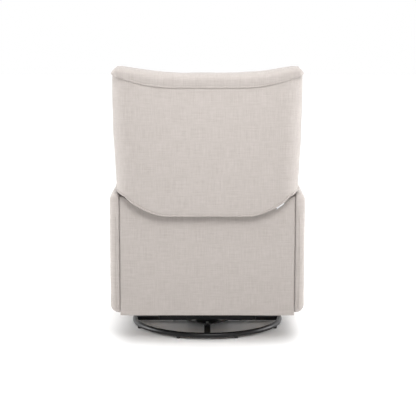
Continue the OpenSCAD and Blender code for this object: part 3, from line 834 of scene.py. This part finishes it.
class GLIDER_OT_wings(Piece, bpy.types.Operator):
    """Padded wings at both sides of the back."""

    bl_idname = "glider.wings"
    bl_label = "Wings"

    def execute(self, context):
        low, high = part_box("wing_left")
        tall = BACK_HEIGHT - WING_FOOT
        corners = (low.x + 0.0005, -WING_DEEP, 0.0), (high.x, 0.0, tall)
        for side, node in ((1, "wing_left"), (-1, "wing_right")):

            def warp(p, side=side):
                t = unit(p.z / tall)
                ahead = unit(-p.y / WING_DEEP)
                height = mix(WING_FOOT, seam_height(p.x) - 0.001, t)
                front = 0.232 - 0.014 * smooth(0.35, 1.0, t) - 0.020 * smooth(0.22, 0.0, t)
                y = -mix(0.1328, front, ahead) - 0.007 * math.sin(math.pi * t) * smooth(0.7, 1.0, ahead)
                q = leaning(p.x, y, height)
                x = q.x * mix(1.0, shell_taper(q.z), smooth(0.27, 0.33, q.x))
                swell = ripple((q.y * side, q.z, 5.0), 0.07, 0.0018) * smooth(0.0, 0.3, ahead)
                return Vector((side * (x + swell * smooth(0.29, 0.33, p.x)), q.y + swell * 0.6, q.z))

            mesh, _ = rounded_block(*corners, ROUND["wing"], 0.009, warp, sharp=((1, 1), (2, 1)))
            wing = put(node + "_cover", mesh, "upholstery", "back")
            subdivide(wing)
            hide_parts(node)
        return {"FINISHED"}


def seam_points(ends, test):
    """Held points of a block: the indices where the test on the end flags is true."""
    return [i for i, e in enumerate(ends) if test(e)]


def cushion_block():
    """Corners of the back cushion's block before it is placed."""
    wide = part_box("back_cushion")[1].x - 0.001
    return (-wide, -CUSHION_DEEP, 0.0), (wide, 0.0, CUSHION_TALL)


def cushion_place(p):
    """Leans the back cushion, thins it towards its top and swells it at the waist."""
    t = p.z / CUSHION_TALL
    thick = mix(0.080, 0.036, smooth(0.0, 1.0, t)) + 0.016 * math.exp(-(((t - 0.25) / 0.2) ** 2))
    q = leaning(p.x, -0.169 + p.y / CUSHION_DEEP * thick, mix(0.018, BACK_HEIGHT - 0.002, t))
    lowest = 0.487 + 0.006 * (1 - smooth(-0.1, 0, p.y))
    return Vector((q.x, min(q.y, 0.226) if q.z < 0.532 else q.y, max(q.z, lowest)))


class GLIDER_OT_back_cushion(Piece, bpy.types.Operator):
    """Crowned inner back cushion with a lumbar swell."""

    bl_idname = "glider.back_cushion"
    bl_label = "Back cushion"

    def execute(self, context):
        mesh, ends = rounded_block(*cushion_block(), ROUND["back"], 0.0095, cushion_place)
        held = seam_points(ends, lambda e: e[1] == 1 or (e[1] == -1 and (e[0] or e[2])))
        cushion = put("back_cushion_cover", mesh, "upholstery", "back")
        puff(cushion, held, 0.020, pressure=3.0)
        subdivide(cushion)
        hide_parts("back_cushion")
        return {"FINISHED"}


def seat_block():
    """Corners of the seat cushion, and the warp that rounds its front downwards."""
    low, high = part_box("seat_cushion")
    low, high = low + SEAT_INSET, high - SEAT_INSET

    def nose(p):
        t = (p.z - low.z) / (high.z - low.z)
        return Vector((p.x, p.y, p.z - 0.012 * smooth(0.35, 1.0, t) * smooth(-0.30, low.y, p.y)))

    return low, high, nose


class GLIDER_OT_seat_cushion(Piece, bpy.types.Operator):
    """Crowned seat cushion and the felt deck under it."""

    bl_idname = "glider.seat_cushion"
    bl_label = "Seat cushion"

    def execute(self, context):
        low, high, nose = seat_block()
        mesh, ends = rounded_block(low, high, ROUND["seat"], 0.0105, nose)
        held = seam_points(ends, lambda e: e[2] and (e[0] or e[1]))
        held += seam_points(ends, lambda e: e[2] == -1 and not (e[0] or e[1]))
        cushion = put("seat_cushion_cover", mesh, "upholstery", "seat")
        puff(cushion, held, context.scene.glider_cloth.crown, pressure=3.5)
        subdivide(cushion)
        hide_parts("seat_cushion")
        low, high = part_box("seat_deck")

        def felt(p):
            return Vector((p.x, p.y, p.z + ripple((p.x, p.y, 0.0), 0.05, 0.0006)))

        mesh, _ = rounded_block(low, high - Vector((0, 0, 0.0008)), 0.004, 0.02, felt)
        deck = put("seat_deck_pad", mesh, "felt", "seat")
        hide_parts("seat_deck")
        return {"FINISHED"}


def arm_rear_limit(p):
    """Keeps the arm's rear top inside the clearance drum of the back."""
    reach = Vector((p.y - HINGE[1], p.z - HINGE[2]))
    if reach.x > 0 and reach.y > 0 and reach.length > ARM_CLEAR:
        reach = reach.normalized() * ARM_CLEAR
        return Vector((p.x, HINGE[1] + reach.x, HINGE[2] + reach.y))
    return p


class GLIDER_OT_arms(Piece, bpy.types.Operator):
    """Upholstered arms with boxed fronts."""

    bl_idname = "glider.arms"
    bl_label = "Arms"

    def execute(self, context):
        low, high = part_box("arm_left")
        seam_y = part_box("rear_panel")[0].y - 0.0035

        for side, node in ((1, "arm_left"), (-1, "arm_right")):

            def warp(p, side=side):
                t = (p.z - low.z) / (high.z - low.z)
                along = (p.y - low.y) / (high.y - low.y)
                q = arm_rear_limit(p)
                across = (q.x - low.x) / (high.x - low.x)
                cut = smooth(SKIRT_TOP + 0.004, SKIRT_TOP - 0.004, q.z)
                x = q.x + 0.010 * smooth(0.5, 0.0, across) * cut * smooth(low.y + 0.014, low.y + 0.020, q.y)
                x += 0.0035 * (arch(t) * arch(along)) * smooth(0.5, 1.0, across)
                wave = ripple((q.y, q.z, 3.0 * side), 0.10, 0.0014) + ripple((q.y, q.z, 9.0), 0.03, 0.0003)
                x += wave * smooth(0.6, 1.0, across)
                y = min(q.y, seam_y) if q.x < ARM_GROOVE else q.y
                return Vector((side * x, y, q.z + 0.004 * arch(along) * smooth(0.8, 1.0, t)))

            grooves = (ARM_GROOVE - 0.0005, ARM_GROOVE + 0.0008)
            mesh, _ = rounded_block(low, high, ROUND["arm"], 0.0105, warp, extra=grooves)
            arm = put(node + "_cover", mesh, "upholstery", "seat")
            subdivide(arm)
            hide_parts(node)
        return {"FINISHED"}


def panel_top(x, y):
    """Height of the rear cover's top edge."""
    radius = drum_radius(x, COVER_REACH) - COVER_GAP
    return HINGE[2] + math.sqrt(radius**2 - (y - HINGE[1]) ** 2)


class GLIDER_OT_rear_cover(Piece, bpy.types.Operator):
    """Tailored cover over the back of the seat frame, with a turned hem."""

    bl_idname = "glider.rear_cover"
    bl_label = "Rear cover"

    def execute(self, context):
        low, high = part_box("rear_panel")
        tall = 0.36
        rear = high.y

        def warp(p):
            t = p.z / tall
            z = mix(low.z, panel_top(p.x, rear), t)
            edge = smooth(0.0, 0.03, high.x - abs(p.x))
            belly = 0.004 * arch(t) * edge
            wave = ripple((p.x, 7.0, z), 0.12, 0.0016) + ripple((p.x, 1.0, z), 0.04, 0.0004)
            out = smooth(low.y, rear, p.y)
            hem = 0.0012 * smooth(0.018, 0.014, z - low.z)
            return Vector((p.x, p.y + (belly + wave + hem - 0.003) * out, z))

        mesh, _ = rounded_block((low.x, low.y, 0.0), (high.x, rear, tall), 0.004, 0.011, warp, thin=1)
        cover = put("rear_cover", mesh, "upholstery", "seat")
        subdivide(cover)
        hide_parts("rear_panel")
        return {"FINISHED"}


def footrest_block():
    """Corners of the footrest's stuffed pad."""
    low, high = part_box("footrest_pad")
    return low + Vector((0.001, 0.012, 0.003)), high - Vector((0.001, 0.0, -0.001))


class GLIDER_OT_footrest(Piece, bpy.types.Operator):
    """Crowned footrest pad."""

    bl_idname = "glider.footrest"
    bl_label = "Footrest"

    def execute(self, context):
        mesh, ends = rounded_block(*footrest_block(), ROUND["footrest"], 0.0095)
        held = seam_points(ends, lambda e: e[1] and (e[0] or e[2]))
        held += seam_points(ends, lambda e: e[1] == 1 and not (e[0] or e[2]))
        pad = put("footrest_cover", mesh, "upholstery", "footrest")
        puff(pad, held, 0.018, pressure=3.5)
        subdivide(pad)
        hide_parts("footrest_pad")
        return {"FINISHED"}


def block_edge_loop(low, high, radius, fixed, side, warp=None):
    """Points halfway round the rounded edge where one face of a block meets its sides."""
    count = 14
    a, b = [k for k in range(3) if k != fixed]
    drop = radius * (1 - math.sqrt(0.5))
    radius *= math.sqrt(0.5)
    lo, hi = Vector(low) + Vector((drop,) * 3), Vector(high) - Vector((drop,) * 3)
    value = (hi if side > 0 else lo)[fixed]
    points = []
    for ca, cb, start in ((1, 1, 0), (-1, 1, 90), (-1, -1, 180), (1, -1, 270)):
        centre_a = (hi if ca > 0 else lo)[a] - ca * radius
        centre_b = (hi if cb > 0 else lo)[b] - cb * radius
        for i in range(count + 1):
            turn = math.radians(start + 90 * i / count)
            p = Vector((0, 0, 0))
            p[a] = centre_a + radius * math.cos(turn)
            p[b] = centre_b + radius * math.sin(turn)
            p[fixed] = value
            points.append(warp(p) if warp else p)
    return points


class GLIDER_OT_welts(Piece, bpy.types.Operator):
    """Corded seams of the back, arms, seat and footrest."""

    bl_idname = "glider.welts"
    bl_label = "Welts"

    def execute(self, context):
        radius = context.scene.glider_cloth.welt
        half = shell_half_length()
        steps = 120
        round_back = [mix(-half, half, i / steps) for i in range(steps + 1)]
        seam = [shell_point(s, seam_height(shell_plan(s, 0)[0]), -0.0015) for s in round_back]
        tube("top_seam_welt", seam, radius, "back")
        hem = []
        for s in round_back:
            x, y = shell_plan(s, 0)
            hem.append(shell_point(s, shell_foot(x, y) + 0.004, -0.0004))
        tube("outer_back_edge", hem, 0.0030, "back")
        for side, name in ((1, "left"), (-1, "right")):
            strip = []
            for i in range(61):
                z = mix(0.135, 0.47, i / 60)
                lean = 0.002 * math.sin(math.pi * i / 60)
                strip.append(Vector((side * (0.333 + lean), 0.3542 - lean, z)))
            tube("arm_seam_" + name, strip, 0.0022, "seat")
            column = []
            for i in range(61):
                height = mix(0.104, seam_height(BACK_WIDE) - 0.004, i / 60)
                q = leaning(BACK_WIDE - 0.0015, -SHELL_FRONT, height)
                column.append(Vector((side * q.x * shell_taper(q.z), q.y, q.z)))
            tube("wing_welt_" + name, column, radius, "back")
        low, high, nose = seat_block()
        for name, way in (("seat_top_welt", 1), ("seat_bottom_welt", -1)):
            ring = block_edge_loop(low, high, ROUND["seat"], 2, way, nose)
            tube(name, ring, radius, "seat", closed=True)
        ring = block_edge_loop(*cushion_block(), ROUND["back"], 1, -1, cushion_place)
        tube("back_cushion_welt", ring, radius, "back", closed=True)
        ring = block_edge_loop(*footrest_block(), ROUND["footrest"], 1, -1)
        tube("footrest_welt", ring, radius, "footrest", closed=True)
        edge = block_edge_loop(*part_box("arm_left"), ROUND["arm"], 1, -1)
        for side, name in ((1, "left"), (-1, "right")):
            ring = [Vector((side * p.x, p.y - 0.0006, p.z)) for p in edge]
            tube("arm_welt_" + name, ring, radius, "seat", closed=True)
        return {"FINISHED"}


class GLIDER_OT_stitching(Piece, bpy.types.Operator):
    """Rows of stitches beside the seams and along the hem."""

    bl_idname = "glider.stitching"
    bl_label = "Stitching"

    def execute(self, context):
        half = shell_half_length() - 0.004
        steps = 160
        round_back = [mix(-half, half, i / steps) for i in range(steps + 1)]
        below = [shell_point(s, seam_height(shell_plan(s, 0)[0]) - 0.010, -0.0024) for s in round_back]
        stitches("top_seam_stitches", [below], "back")
        low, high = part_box("rear_panel")
        ends = low.x + 0.008, high.x - 0.008
        row = [Vector((mix(*ends, i / 80), high.y - 0.0022, low.z + 0.014)) for i in range(81)]
        stitches("hem_stitches", [row], "seat")
        return {"FINISHED"}


class GLIDER_OT_finishes(Piece, bpy.types.Operator):
    """Paint, plating, timber and webbing on the parts of the frame."""

    bl_idname = "glider.finishes"
    bl_label = "Frame finishes"

    def execute(self, context):
        for part in frame["record"]["subparts"]:
            data = frame["nodes"][part["node"]].data
            data.materials.clear()
            data.materials.append(finish(part["material_slot"]))
        return {"FINISHED"}


class GLIDER_OT_stage(Piece, bpy.types.Operator):
    """Pale floor, soft lights and the camera behind the chair."""

    bl_idname = "glider.stage"
    bl_label = "Stage"

    def execute(self, context):
        stage = context.scene.glider_stage
        scene = context.scene
        mesh = bmesh.new()
        bmesh.ops.create_grid(mesh, x_segments=8, y_segments=8, size=24)
        data = bpy.data.meshes.new("floor")
        mesh.to_mesh(data)
        mesh.free()
        data.materials.append(finish("floor"))
        floor = bpy.data.objects.new("floor", data)
        scene.collection.objects.link(floor)
        world = bpy.data.worlds.new("surround")
        scene.world = world
        world.use_nodes = True
        nodes, links = world.node_tree.nodes, world.node_tree.links
        # Bright in front and dimmer behind for the light it gives, but white wherever it is seen.
        sky = nodes["Background"]
        sky.inputs["Color"].default_value = (1, 1, 1, 1)
        way, parts, level = (
            nodes.new(kind) for kind in ("ShaderNodeTexCoord", "ShaderNodeSeparateXYZ", "ShaderNodeMapRange")
        )
        level.interpolation_type = "SMOOTHSTEP"
        for name, value in (
            ("From Min", -0.5), ("From Max", 0.5), ("To Min", stage.sky), ("To Max", stage.sky * stage.dim)
        ):
            level.inputs[name].default_value = value
        links.new(way.outputs["Generated"], parts.inputs[0])
        links.new(parts.outputs["Y"], level.inputs["Value"])
        seen, bright = nodes.new("ShaderNodeLightPath"), nodes.new("ShaderNodeMath")
        bright.operation = "MAXIMUM"
        links.new(level.outputs[0], bright.inputs[0])
        links.new(seen.outputs["Is Camera Ray"], bright.inputs[1])
        links.new(bright.outputs[0], sky.inputs["Strength"])
        # Soft boxes: name, place, aim, size, power and spread in degrees.
        boxes = (
            ("overhead", (-0.3, 2.2, 2.3), (0, 0.3, 1.0), 1.5, stage.key, 60),
            ("side_left", (2.7, -0.3, 0.4), (0, 0, 0.15), 1.5, stage.side, 180),
            ("side_right", (-2.7, -0.3, 0.4), (0, 0, 0.15), 1.5, stage.side, 180),
        )
        for name, place, aim, size, power, spread in boxes:
            lamp = bpy.data.lights.new(name, "AREA")
            lamp.energy, lamp.size, lamp.spread = power, size, math.radians(spread)
            box = bpy.data.objects.new(name, lamp)
            box.location = place
            box.rotation_euler = (Vector(aim) - Vector(place)).to_track_quat("-Z", "Y").to_euler()
            scene.collection.objects.link(box)
        lamp = bpy.data.lights.new("daylight", "SUN")
        lamp.energy, lamp.angle = stage.daylight, math.radians(60)
        daylight = bpy.data.objects.new("daylight", lamp)
        scene.collection.objects.link(daylight)
        data = bpy.data.cameras.new("camera")
        data.lens, data.sensor_width = stage.lens, 36
        data.shift_x, data.shift_y = 0.0017, -0.0065
        data.clip_end = 60
        camera = bpy.data.objects.new("camera", data)
        camera.location = (0, stage.distance, stage.height)
        look = Vector((0, 0, stage.aim)) - camera.location
        camera.rotation_euler = look.to_track_quat("-Z", "Y").to_euler()
        scene.collection.objects.link(camera)
        scene.camera = camera
        scene.view_settings.view_transform = "Standard"
        return {"FINISHED"}


STEPS = (
    GLIDER_OT_stage, GLIDER_OT_finishes, GLIDER_OT_outer_back, GLIDER_OT_top_roll, GLIDER_OT_wings,
    GLIDER_OT_back_cushion, GLIDER_OT_seat_cushion, GLIDER_OT_arms, GLIDER_OT_rear_cover,
    GLIDER_OT_footrest, GLIDER_OT_welts, GLIDER_OT_stitching,
)


class GLIDER_PT_panel(bpy.types.Panel):
    """Lists the pieces of the chair."""

    bl_idname = "GLIDER_PT_panel"
    bl_label = "Glider Recliner"
    bl_space_type = "VIEW_3D"
    bl_region_type = "UI"
    bl_category = "Glider"

    def draw(self, context):
        for group in (context.scene.glider_cloth, context.scene.glider_stage):
            for name in group.__annotations__:
                self.layout.prop(group, name)
        for step in STEPS:
            self.layout.operator(step.bl_idname)


CLASSES = (GliderCloth, GliderStage, *STEPS, GLIDER_PT_panel)


def register():
    """Adds the classes and the scene's settings."""
    for item in CLASSES:
        bpy.utils.register_class(item)
    bpy.types.Scene.glider_cloth = bpy.props.PointerProperty(type=GliderCloth)
    bpy.types.Scene.glider_stage = bpy.props.PointerProperty(type=GliderStage)


def unregister():
    """Removes them again."""
    del bpy.types.Scene.glider_stage
    del bpy.types.Scene.glider_cloth
    for item in reversed(CLASSES):
        bpy.utils.unregister_class(item)


def main():
    """Builds every piece in order."""
    register()
    for step in STEPS:
        group, name = step.bl_idname.split(".")
        getattr(getattr(bpy.ops, group), name)()


if __name__ == "__main__":
    main()
